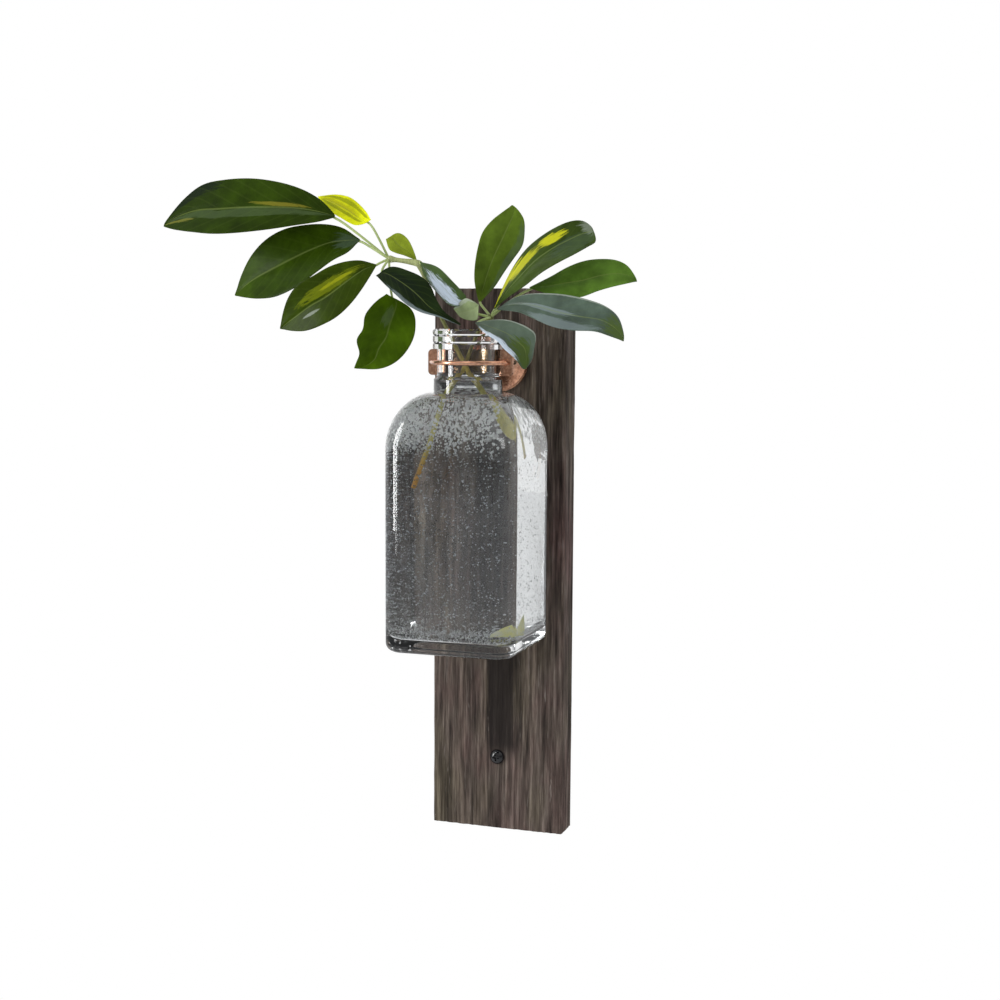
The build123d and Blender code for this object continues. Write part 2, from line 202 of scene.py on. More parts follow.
ridge_depth = 0.00034
crack_depth = 0.0009
crack_width = 0.05
crack_reach = 0.45
wear_depth = 0.0005
foot_depth = 0.0006
relief_by_axis = (0.4, 1)
touching = 1e-6
for vertex in board.data.vertices:
    place = vertex.co.copy()
    from_low, from_high = place - board_low, board_high - place
    gaps = [min(low, high) for low, high in zip(from_low, from_high)]
    at_corner = sorted(gaps)[1] < touching
    coarse = wood_noise(place, (210, 210, 5))
    fine = wood_noise(place, (520, 520, 14), (0, 0, 9))
    crack = wood_noise(place, (130, 90, 3.2), (7, 0, 0))
    relief = ridge_depth * (0.5 - 0.5 * coarse) + 0.5 * ridge_depth * (0.5 - 0.5 * fine)
    relief += crack_depth * max(0, 1 - abs(crack) / crack_width) * max(0, coarse + crack_reach)
    inward = Vector((0, 0, 0))
    for axis in range(3):
        if gaps[axis] >= touching:
            continue
        side = 1 if from_low[axis] < from_high[axis] else -1
        if axis == 2:
            torn = wood_noise(place, (260, 120, 0), (0, 0, side))
            inward[axis] += side * foot_depth * (0.35 + 0.65 * abs(torn))
        else:
            inward[axis] += side * relief * relief_by_axis[axis]
        if at_corner:
            worn = wood_noise(place, (40, 40, 30))
            inward[axis] += side * wear_depth * (0.3 + 0.7 * abs(worn))
    vertex.co = place + inward

holder_z = 0.119
drill_radius = 0.0026
drill_length = 0.05
mid_thickness_y = -0.01
for level in (holder_z, -holder_z):
    bpy.ops.object.select_all(action="DESELECT")
    bpy.ops.mesh.primitive_cylinder_add(
        radius=drill_radius,
        depth=drill_length,
        vertices=32,
        location=(0, mid_thickness_y, level),
        rotation=(math.pi / 2, 0, 0),
    )
    drill = bpy.context.active_object
    cut = board.modifiers.new("drill", "BOOLEAN")
    cut.operation = "DIFFERENCE"
    cut.object = drill
    select_only(board)
    bpy.ops.object.modifier_apply(modifier=cut.name)
    bpy.data.objects.remove(drill)
bpy.ops.object.shade_smooth_by_angle(angle=math.radians(40))

wood, tree, shader = new_material("weathered_wood", (0.07, 0.055, 0.048), roughness=0.85)
grain = noise_node(tree, 470, detail=6, roughness=0.66, stretch=(1, 0.6, 0.055))
bands = noise_node(tree, 110, detail=4, roughness=0.6, distortion=0.7, stretch=(1, 1, 0.05))
blotches = noise_node(tree, 34, detail=4, roughness=0.6, stretch=(1, 1, 0.4))
scratches = noise_node(tree, 330, detail=3, roughness=0.7, distortion=0.4, stretch=(1, 0.6, 0.11))
fibre_colors = [
    (0.3, (0.012, 0.009, 0.008)),
    (0.45, (0.048, 0.037, 0.031)),
    (0.56, (0.082, 0.064, 0.054)),
    (0.72, (0.17, 0.14, 0.12)),
]
band_tones = [(0.3, (0.62, 0.61, 0.60)), (0.5, (1.26, 1.26, 1.24)), (0.7, (1.62, 1.58, 1.52))]
blotch_tints = [(0.32, (0.90, 0.94, 0.80)), (0.5, (1, 1, 1)), (0.66, (1.10, 0.92, 0.98))]
worn_wood = (0.20, 0.17, 0.15)
color = mix(tree, "MULTIPLY", 1.0, ramp(tree, grain, fibre_colors), ramp(tree, bands, band_tones))
color = mix(tree, "MULTIPLY", 1.0, color, ramp(tree, blotches, blotch_tints))
color = mix(tree, "MIX", ramp(tree, scratches, [(0.62, 0.0), (0.74, 0.75)]), color, worn_wood)
stained_wood = (0.013, 0.010, 0.009)
stain_strength = 0.9
stain_middle_x = 0.004
stain_fray = 0.014
off_stain = math_node(tree, "ABSOLUTE", math_node(tree, "SUBTRACT", along(tree, "X"), stain_middle_x))
fray = math_node(tree, "MULTIPLY", math_node(tree, "SUBTRACT", bands, 0.5), stain_fray)
off_stain = math_node(tree, "MULTIPLY", math_node(tree, "ADD", off_stain, fray), 50)
across_stain = ramp(tree, off_stain, [(0.26, 1.0), (0.64, 0.0)], "EASE")
up_board = math_node(tree, "ADD", math_node(tree, "MULTIPLY", along(tree, "Z"), 5), 1.0)
down_stain = ramp(tree, up_board, [(0.38, 0.0), (0.45, 1.0), (0.76, 1.0), (0.84, 0.0)], "EASE")
stain = math_node(tree, "MULTIPLY", across_stain, down_stain)
front_half = math_node(tree, "LESS_THAN", along(tree, "Y"), mid_thickness_y)
stain = math_node(tree, "MULTIPLY", stain, math_node(tree, "MULTIPLY", front_half, stain_strength))
color = mix(tree, "MIX", stain, color, stained_wood)
patterned(tree, shader, color, ramp(tree, grain, [(0.2, 0.95), (0.8, 0.7)]))
shader.inputs["Specular IOR Level"].default_value = 0.15
wood_relief = math_node(tree, "ADD", grain, math_node(tree, "MULTIPLY", bands, 0.6))
bump(tree, shader, wood_relief, distance=0.0012, strength=0.8)
board.data.materials.append(wood)
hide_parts("wood_board")
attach(board, "root")


# Wall screw. A domed steel screw with a black finish and a cross recess in its head. It goes through
# the board's lower hole into the wall.
def finish_node(name, material):
    """Gives a solid of the frame its finish."""
    piece = nodes[name]
    piece.data.materials.clear()
    piece.data.materials.append(material)


black, tree, shader = new_material("black_screw", (0.006, 0.006, 0.007), roughness=0.16)
scuffs = noise_node(tree, 900, detail=4, roughness=0.6)
scuffed_black = ramp(tree, scuffs, [(0.55, (0.005, 0.005, 0.006)), (0.85, (0.03, 0.027, 0.025))])
patterned(tree, shader, scuffed_black, ramp(tree, scuffs, [(0.3, 0.12), (0.75, 0.26)]))
bump(tree, shader, scuffs, distance=0.00006)
finish_node("wall_screw", black)


# Hanger bolt. A zinc-plated steel bolt with a thread at each end. One end goes through the board's
# upper hole into the wall, and the other holds the boss of the copper strap.
zinc, tree, shader = new_material("steel_bolt", (0.55, 0.56, 0.57), roughness=0.35, metallic=1.0)
spangle = noise_node(tree, 600, detail=3, roughness=0.5)
spangled_zinc = ramp(tree, spangle, [(0.3, (0.42, 0.43, 0.44)), (0.7, (0.66, 0.66, 0.65))])
patterned(tree, shader, spangled_zinc, ramp(tree, spangle, [(0.3, 0.28), (0.7, 0.45)]))
thread = {"Vector": stretched(tree, (1, 1, 1)), "Scale": 160, "Distortion": 0.0}
thread_turns = add_node(tree, "TexWave", thread, bands_direction="Y").outputs["Fac"]
bump(tree, shader, thread_turns, distance=0.0004, strength=0.7)
finish_node("hanger_bolt", zinc)


# Copper holder. A spun bell on the board, a half strap with ears and a boss behind the bottle's neck,
# and a thin rod hoop in front of it, held by a washer and a nut on each leg. The copper behind the
# neck is painted dark brown: painted shade, where the strap lies in shadow behind the neck.
copper, tree, shader = new_material("copper", (0.84, 0.46, 0.30), roughness=0.2, metallic=1.0)
clouds = noise_node(tree, 55, detail=4, roughness=0.6)
specks = noise_node(tree, 700, detail=3, roughness=0.6)
copper_colors = [(0.3, (0.50, 0.22, 0.12)), (0.5, (0.84, 0.46, 0.30)), (0.7, (0.94, 0.60, 0.42))]
speck_tints = [(0.38, (0.42, 0.30, 0.26)), (0.58, (1, 1, 1))]
clean_copper = ramp(tree, clouds, copper_colors)
bright_copper = mix(tree, "MULTIPLY", 0.6, clean_copper, ramp(tree, specks, speck_tints))
# Painted shade: the copper that lies behind the neck, between the board and the bottle, is turned dark
# brown.
painted_shade_brown = (0.17, 0.12, 0.055)
out_from_wall = math_node(tree, "MULTIPLY", along(tree, "Y"), -10)
painted_shade_behind_neck = ramp(tree, out_from_wall, [(0.40, 0.0), (0.50, 0.92), (0.60, 0.92), (0.72, 0.0)])
color = mix(tree, "MIX", painted_shade_behind_neck, bright_copper, painted_shade_brown)
patterned(tree, shader, color, ramp(tree, clouds, [(0.25, 0.34), (0.7, 0.14)]))
spun = noise_node(tree, 500, detail=2, roughness=0.5, stretch=(0.2, 3, 0.2))
bump(tree, shader, spun, distance=0.00012, strength=0.6)
for name in ("bell_cover", "neck_strap", "neck_hoop", "hoop_washers", "hoop_nuts"):
    finish_node(name, copper)


# Glass bottle. Clear moulded glass, square with arched shoulders, a heavy base and a ringed lip.
# The strap and the hoop hold it round its neck, under the lip.
glass, tree, shader = new_material("clear_glass", (0.945, 0.95, 0.955), roughness=0.0)
shader.inputs["Transmission Weight"].default_value = 1.0
shader.inputs["IOR"].default_value = 1.5
glass_waves = noise_node(tree, 32, detail=2, roughness=0.4, stretch=(1, 1, 0.5))
bump(tree, shader, glass_waves, distance=0.0009, strength=0.35)
finish_node("glass_bottle", glass)


# Water. It fills the bottle up into the neck and wets the wall all round. Its body is a copy of the
# bottle's inner side, cut off level at the top and set a hair's breadth into the glass.
water_level = 0.1135
wet_overlap = 0.00012
weld_distance = 0.000002
bottle_axis = Vector((0, -0.074, 0))
floor_zone_top = -0.030
shoulder_start = 0.072
floor_tilt, level_tilt = 0.2, 0.98
bpy.ops.object.select_all(action="DESELECT")
water = nodes["glass_bottle"].copy()
water.data = nodes["glass_bottle"].data.copy()
for key in list(water.keys()):
    del water[key]
water.parent = None
bpy.context.scene.collection.objects.link(water)
water.name = "water"
water.data.materials.clear()
start_edit(water)
bpy.ops.mesh.select_all(action="SELECT")
bpy.ops.mesh.remove_doubles(threshold=weld_distance)
end_edit()


def inside_wall(face):
    """True for a face of the bottle's inner side."""
    middle = face.calc_center_median() - bottle_axis
    outward = Vector((middle.x, middle.y, 0))
    if middle.z < floor_zone_top:
        looks_up = face.normal.z > floor_tilt
        looks_in = face.normal.dot(outward) < 0 and abs(face.normal.z) < level_tilt
        return looks_up or looks_in
    outward.z = max(0, middle.z - shoulder_start)
    return face.normal.dot(outward) < 0


start_edit(water, "FACE")
pick(water, "faces", inside_wall)
bpy.ops.mesh.select_all(action="INVERT")
bpy.ops.mesh.delete(type="FACE")
bpy.ops.mesh.select_all(action="SELECT")
bpy.ops.mesh.bisect(plane_co=(0, 0, water_level), plane_no=(0, 0, 1), clear_outer=True, use_fill=True)
bpy.ops.mesh.select_all(action="SELECT")
bpy.ops.mesh.normals_make_consistent(inside=False)
bpy.ops.transform.shrink_fatten(value=wet_overlap)
end_edit()
liquid, tree, shader = new_material("water", (0.97, 0.985, 0.98), roughness=0.0)
shader.inputs["Transmission Weight"].default_value = 1.0
shader.inputs["IOR"].default_value = 1.33
ripples = noise_node(tree, 60, detail=2, roughness=0.4)
bump(tree, shader, ripples, distance=0.0003, strength=0.15)
water.data.materials.append(liquid)
bpy.ops.object.shade_smooth_by_angle(angle=math.radians(35))
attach(water, "bottle")


# Bubbles. Small beads of air that cling to the inside of the glass. They are largest and closest together
# on the shoulders, and few on the bottle's right side. Their colour is painted light: painted glints and
# shade at random, and a painted shine that makes them paler on the shoulders and at the floor.
bead_count = 9000
bead_top = 0.098
shoulder_level = 0.070
shoulder_right = 0.026
floor_level = -0.026
small_bead = (0.00022, 0.00052)
large_bead = (0.0005, 0.0009)
large_share = 0.4
bead_inset = 1.5 * wet_overlap
shoulder_share, floor_share, right_share, front_share, back_share = 4.5, 1.6, 0.12, 3.2, 1.0


def bead_share(face):
    """How close together the beads lie on one face of the water."""
    if face.center.z > shoulder_level and face.center.x < shoulder_right:
        return shoulder_share
    if face.center.z < floor_level:
        return floor_share
    if face.normal.x > 0.5:
        return right_share
    return front_share if face.normal.y < -0.5 else back_share


bpy.ops.object.select_all(action="DESELECT")
bpy.ops.mesh.primitive_ico_sphere_add(subdivisions=1, radius=1)
bead = bpy.context.active_object
bead_points = [vertex.co.copy() for vertex in bead.data.vertices]
bead_faces = [tuple(face.vertices) for face in bead.data.polygons]
bpy.data.objects.remove(bead)
chance = random.Random(7)
walls = [face for face in water.data.polygons if face.center.z < bead_top and face.area > 0]
shares = [face.area * bead_share(face) for face in walls]
points, faces = [], []
for face in chance.choices(walls, shares, k=bead_count):
    corners = [water.data.vertices[number].co for number in face.vertices[:3]]
    a, b = sorted((chance.random(), chance.random()))
    spot = corners[0] * a + corners[1] * (b - a) + corners[2] * (1 - b)
    radius = chance.uniform(*small_bead)
    if spot.z > shoulder_level and chance.random() < large_share:
        radius = chance.uniform(*large_bead)
    center = spot - face.normal * (radius + bead_inset)
    start = len(points)
    points += [center + radius * point for point in bead_points]
    faces += [tuple(start + number for number in bead_face) for bead_face in bead_faces]
mesh = bpy.data.meshes.new("air_bubbles")
mesh.from_pydata(points, [], faces)
bubbles = bpy.data.objects.new("air_bubbles", mesh)
bpy.context.scene.collection.objects.link(bubbles)
mesh.shade_smooth()
air, tree, shader = new_material("air_bubble", (0.62, 0.65, 0.68), roughness=0.35, metallic=0.1)
# Painted light: random painted glints and shade on the beads, and a painted shine that is paler on the
# shoulders and at the floor.
glints = noise_node(tree, 420, detail=2, roughness=0.5)
painted_glint_colors = [(0.40, (0.015, 0.015, 0.015)), (0.50, (0.16, 0.16, 0.17)), (0.60, (0.72, 0.76, 0.80))]
painted_shine_color = (0.95, 0.97, 0.96)
up_bottle = math_node(tree, "ADD", math_node(tree, "MULTIPLY", along(tree, "Z"), 5), 0.5)
paler = ramp(tree, up_bottle, [(0.33, 0.7), (0.43, 0.15), (0.60, 0.0), (0.83, 0.0), (0.88, 1.0)])
patterned(tree, shader, mix(tree, "MIX", paler, ramp(tree, glints, painted_glint_colors), painted_shine_color))
mesh.materials.append(air)
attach(bubbles, "bottle")


# Stems. Two fresh cuttings that cross in the neck: olive green above it, amber where they cross
# and at their cut ends, and pale green in the water. They stand loose in the bottle.
def make_tube(name, points, radius, rounding, steps):
    """A round tube through points that are given with their share of its radius, made a mesh."""
    curve = bpy.data.curves.new(name, "CURVE")
    curve.dimensions = "3D"
    spline = curve.splines.new("NURBS")
    spline.points.add(len(points) - 1)
    for point, (where, thickness) in zip(spline.points, points):
        point.co = (*where, 1)
        point.radius = thickness
    spline.order_u = 3
    spline.use_endpoint_u = True
    spline.resolution_u = steps
    curve.bevel_depth = radius
    curve.bevel_resolution = rounding
    curve.use_fill_caps = True
    tube = bpy.data.objects.new(name, curve)
    bpy.context.scene.collection.objects.link(tube)
    select_only(tube)
    bpy.ops.object.convert(target="MESH")
    bpy.ops.object.shade_smooth()
    return bpy.context.active_object


stem_green, tree, shader = new_material("green_stem", (0.35, 0.36, 0.12), roughness=0.5)
strands = noise_node(tree, 900, detail=3, roughness=0.6, stretch=(1, 1, 0.12))
stem_colors = [
    (0.29, (0.72, 0.36, 0.04)),
    (0.36, (0.66, 0.58, 0.14)),
    (0.48, (0.62, 0.62, 0.18)),
    (0.56, (0.50, 0.38, 0.06)),
    (0.64, (0.20, 0.17, 0.03)),
    (0.74, (0.12, 0.14, 0.03)),
    (0.86, (0.34, 0.38, 0.15)),
]
strand_tints = [(0.3, (0.55, 0.55, 0.5)), (0.6, (1, 1, 1)), (0.8, (1.5, 1.5, 1.6))]
skin = ramp(tree, math_node(tree, "MULTIPLY", along(tree, "Z"), 5), stem_colors)
patterned(tree, shader, mix(tree, "MULTIPLY", 0.9, skin, ramp(tree, strands, strand_tints)))
bump(tree, shader, strands, distance=0.0002, strength=0.6)

stem_radius = 0.0015
slim, swollen, cut_off = 0.7, 1.35, 0.8
end_length = 0.0012
crossing = Vector((-0.002, -0.074, 0.119))
left_spread, right_spread = 0.140, 0.080
left_whorl = crossing + left_spread * Vector((-0.316, -0.021, 0.409))
left_lower_whorl = crossing + left_spread * Vector((-0.190, -0.014, 0.392))
right_whorl = crossing + right_spread * Vector((0.199, -0.025, 0.315))

# share of the way from the foot to the bend, and the stem's thickness there
stem_taper = ((0, 0.95), (0.3, 1.0), (0.55, 0.95), (0.75, 0.8), (0.9, 0.72))

# name, body, foot, bend, whorls that the stem carries
stems = (
    (
        "left_stem",
        "left_cutting",
        Vector((0.02608, -0.07585, 0.067)),
        Vector((-0.01874, -0.07585, 0.150)),
        (left_lower_whorl, left_whorl),
    ),
    (
        "right_stem",
        "right_cutting",
        Vector((-0.0286, -0.07215, 0.049)),
        Vector((0.00522, -0.07215, 0.138)),
        (right_whorl,),
    ),
)
for name, body, foot, bend, whorls in stems:
    points = [(foot.lerp(bend, share), thickness) for share, thickness in stem_taper]
    points.append((bend.lerp(whorls[0], 0.2), slim))
    before = bend
    for whorl in whorls:
        points += [(before.lerp(whorl, 0.72), slim), (before.lerp(whorl, 0.94), swollen), (whorl, swollen)]
        before = whorl
    points.append((before + (before - points[-2][0]).normalized() * end_length, cut_off))
    stem = make_tube(name + "_tube", points, stem_radius, rounding=4, steps=8)
    stem.data.materials.append(stem_green)
    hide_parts(name)
    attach(stem, body)


# Leaflets. Waxy blades on thin stalks, each cupped along its midrib, some of them streaked yellow. Some
# carry patches of painted light: painted shadow in near black, painted sheen in blue, white, blue-green
# and grey-green, and painted highlight in pale green. Each grows along its chord, between a lower and an
# upper rim.
def at_share(marks, share):
    """The value of evenly spaced marks at a share of the way along them, on a smooth curve."""
    place = min(max(share, 0.0), 1.0) * (len(marks) - 1)
    number = min(int(place), len(marks) - 2)
    t = place - number
    nearby = [marks[min(max(number + step, 0), len(marks) - 1)] for step in (-1, 0, 1, 2)]
    before, first, second, after = nearby
    slope_in, slope_out = (second - before) / 2, (after - first) / 2
    bend = 3 * (second - first) - 2 * slope_in - slope_out
    return first + slope_in * t + bend * t**2 + (slope_in + slope_out - 2 * (second - first)) * t**3


vein_pairs = 12.0
vein_slant = 5.0
vein_strength = 0.05
vein_green, rib_green = (0.14, 0.20, 0.04), (0.17, 0.22, 0.06)
ragged_rim = 4.2


def leaf_surface(name, green, gloss, sheen, patches):
    """The top of a leaflet: mottled green, a paler midrib and its patches of colour and of painted light,
    placed by the blade's UV map.
    """
    material, tree, shader = new_material(name, green, gloss)
    u, v = along(tree, "X", "UV"), along(tree, "Y", "UV")
    off_rib = math_node(tree, "ABSOLUTE", math_node(tree, "SUBTRACT", v, 0.5))
    mottle = noise_node(tree, 55, detail=4, roughness=0.6)
    tones = [tuple(part * level for part in green) for level in (0.6, 1.0, 1.55)]
    color = ramp(tree, mottle, [(0.32, tones[0]), (0.52, tones[1]), (0.72, tones[2])])
    jagged = noise_node(
        tree, 1.0, detail=6, roughness=0.72, distortion=0.6, stretch=(7, 20, 1), source="UV"
    )
    rough_rim = math_node(tree, "MULTIPLY", math_node(tree, "SUBTRACT", jagged, 0.5), ragged_rim)
    for along_leaf, half_length, across_leaf, half_width, strength, patch_color in patches:
        first = math_node(tree, "DIVIDE", math_node(tree, "SUBTRACT", u, along_leaf), half_length)
        second = math_node(tree, "DIVIDE", math_node(tree, "SUBTRACT", v, across_leaf), half_width)
        squares = [math_node(tree, "MULTIPLY", part, part) for part in (first, second)]
        reach = math_node(tree, "ADD", math_node(tree, "ADD", *squares), rough_rim)
        patch = ramp(tree, reach, [(0.45, strength), (1.0, 0.0)], "EASE")
        color = mix(tree, "MIX", patch, color, patch_color)
    along_veins = math_node(tree, "MULTIPLY", u, vein_pairs)
    slant = math_node(tree, "SUBTRACT", along_veins, math_node(tree, "MULTIPLY", off_rib, vein_slant))
    vein_waves = math_node(tree, "SINE", math_node(tree, "MULTIPLY", slant, 2 * math.pi))
    veins = math_node(tree, "MULTIPLY", ramp(tree, vein_waves, [(0.8, 0.0), (0.99, 1.0)]), vein_strength)
    color = mix(tree, "MIX", veins, color, vein_green)
    rib = ramp(tree, off_rib, [(0.004, 0.42), (0.024, 0.0)])
    patterned(tree, shader, mix(tree, "MIX", rib, color, rib_green))
    bump(tree, shader, mottle, distance=0.0004, strength=0.5)
    shader.inputs["Specular IOR Level"].default_value = 0.02 + 0.8 * sheen
    shader.inputs["Coat Weight"].default_value = sheen
    shader.inputs["Coat Roughness"].default_value = 0.2
    return material


underside, tree, shader = new_material("leaf_underside", (0.18, 0.26, 0.08), roughness=0.55)
matt = noise_node(tree, 120, detail=4, roughness=0.6)
patterned(tree, shader, ramp(tree, matt, [(0.3, (0.12, 0.19, 0.05)), (0.7, (0.25, 0.34, 0.13))]))
bump(tree, shader, matt, distance=0.0002, strength=0.5)
stalk_green, tree, shader = new_material("leaf_stalk", (0.4, 0.48, 0.2), roughness=0.45)
pith = noise_node(tree, 90, detail=3, roughness=0.5)
patterned(tree, shader, ramp(tree, pith, [(0.3, (0.26, 0.34, 0.10)), (0.7, (0.42, 0.50, 0.20))]))

yellow, pale_yellow, yellow_green = (0.52, 0.52, 0.015), (0.34, 0.32, 0.06), (0.22, 0.26, 0.008)
# Pale green is painted highlight, on the upper rims of some leaflets and in pale patches. Dull yellow and
# leaf green are the leaves' own colours.
dull_yellow, leaf_green, painted_pale_highlight = (0.30, 0.26, 0.03), (0.055, 0.088, 0.016), (0.36, 0.40, 0.34)
# Near black is painted shadow, and the blue and the white are painted sheen.
painted_shadow_black, painted_blue_sheen, painted_white_sheen = (0.006, 0.012, 0.005), (0.28, 0.34, 0.36), (0.55, 0.63, 0.72)
# Blue-green and grey-green are painted sheen as well.
painted_blue_green_sheen, painted_grey_green_sheen = (0.070, 0.105, 0.075), (0.085, 0.125, 0.055)

